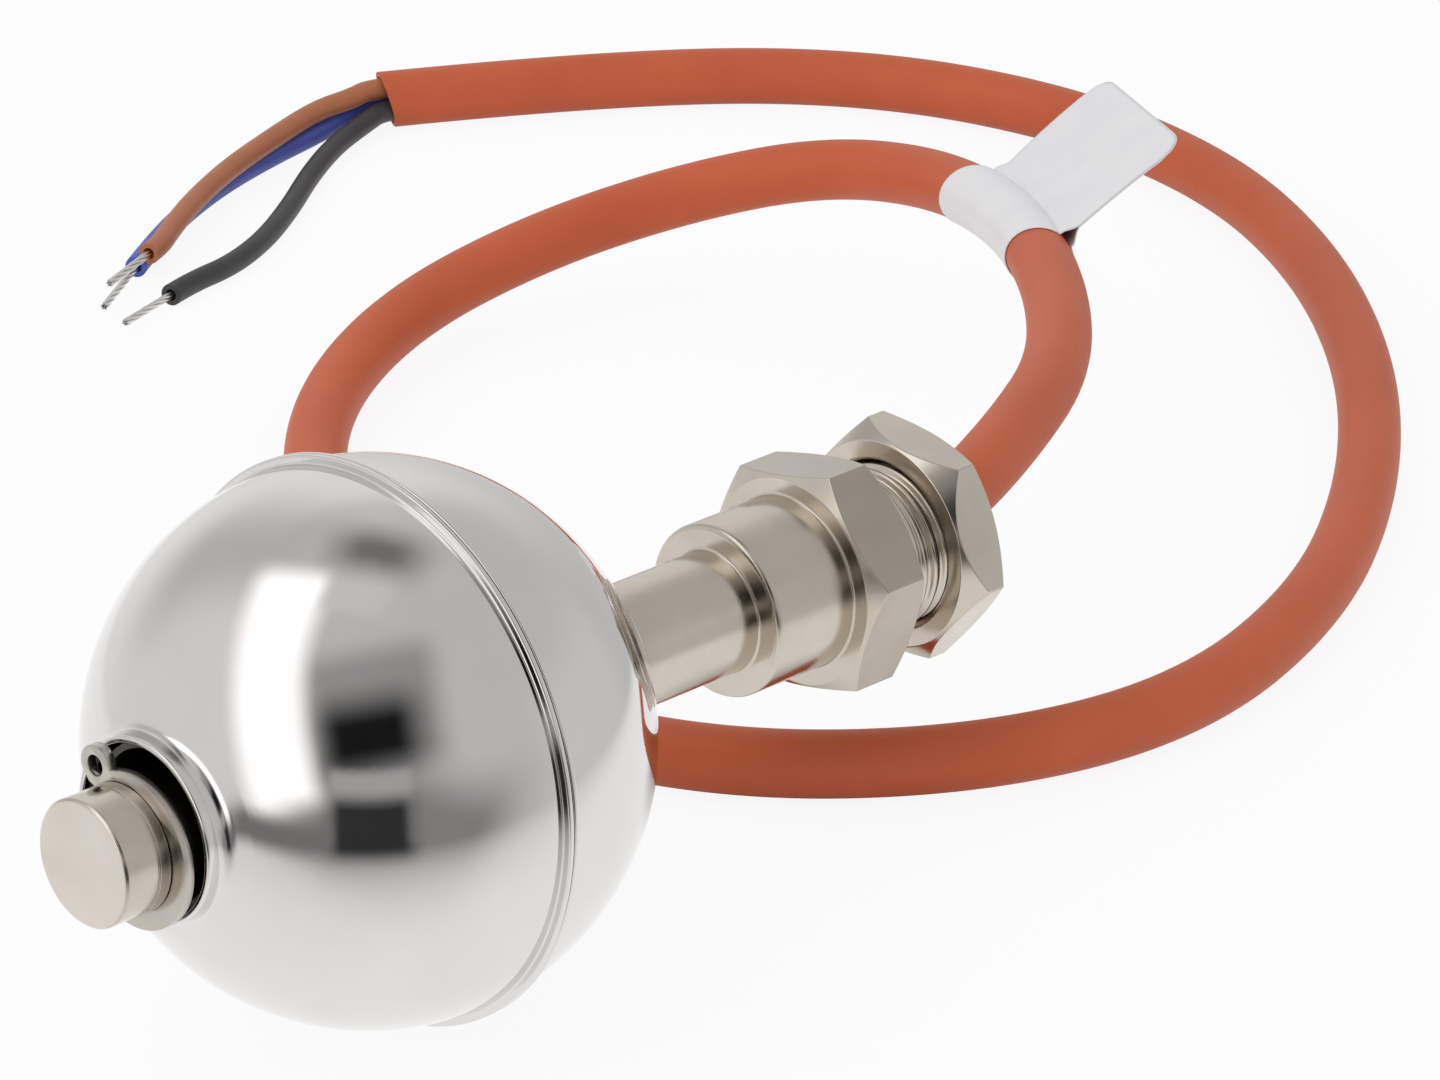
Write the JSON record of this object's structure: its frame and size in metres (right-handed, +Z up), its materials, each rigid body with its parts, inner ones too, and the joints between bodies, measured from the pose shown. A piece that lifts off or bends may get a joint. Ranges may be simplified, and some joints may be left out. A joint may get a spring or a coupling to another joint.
{
  "type": "liquid level sensor",
  "caption": "Float level sensor: polished ball float sliding on a plated brass stem that holds a reed switch, with a hexagon, threaded stub, lock nut and a loose cable with bare core ends.",
  "frame": {"origin": "middle of the sensor's length and width, on the floor under the float's seam", "axes": "+X along the stem from its free end to the threaded stub, +Z up, +Y across to the cable's side"},
  "size_m": [0.2464, 0.2005, 0.0537],
  "materials": {
    "plated_brass": "nickel plated, softly bright",
    "polished_steel": "mirror polished",
    "spring_steel": "tempered, satin",
    "ferrite": "sintered, dull",
    "board_laminate": "woven glass laminate",
    "reed_glass": "clear, faintly green",
    "reed_metal": "plated contact metal",
    "potting": "cast resin",
    "orange_jacket": "matte silicone",
    "label_film": "white film",
    "tinned_copper": "tinned strands",
    "brown_core": "smooth insulation",
    "blue_core": "smooth insulation",
    "black_core": "smooth insulation"
  },
  "bodies": {
    "stem": {"stem_body": "plated_brass", "retaining_ring": "spring_steel", "reed_board": "board_laminate", "reed_glass": "reed_glass", "reed_common_blade": "reed_metal", "reed_open_contact": "reed_metal", "reed_closed_contact": "reed_metal", "cable_potting": "potting", "cable_jacket": "orange_jacket", "cable_label": "label_film", "strands_brown": "tinned_copper", "strands_blue": "tinned_copper", "strands_black": "tinned_copper", "core_brown": "brown_core", "board_lead_brown": "brown_core", "core_blue": "blue_core", "board_lead_blue": "blue_core", "core_black": "black_core", "board_lead_black": "black_core"},
    "float": {"float_front_shell": "polished_steel", "float_rear_shell": "polished_steel", "float_tube": "polished_steel", "float_magnet": "ferrite", "magnet_clip_front": "spring_steel", "magnet_clip_rear": "spring_steel"},
    "nut": {"lock_nut": "plated_brass"}
  },
  "joints": [
    {"name": "float_travel", "type": "slide", "parent": "stem", "child": "float", "axis": [1, 0, 0], "range_m": [-0.0005, 0.0164]},
    {"name": "nut_travel", "type": "slide", "parent": "stem", "child": "nut", "axis": [1, 0, 0], "range_m": [-0.0045, 0.0015]}
  ]
}
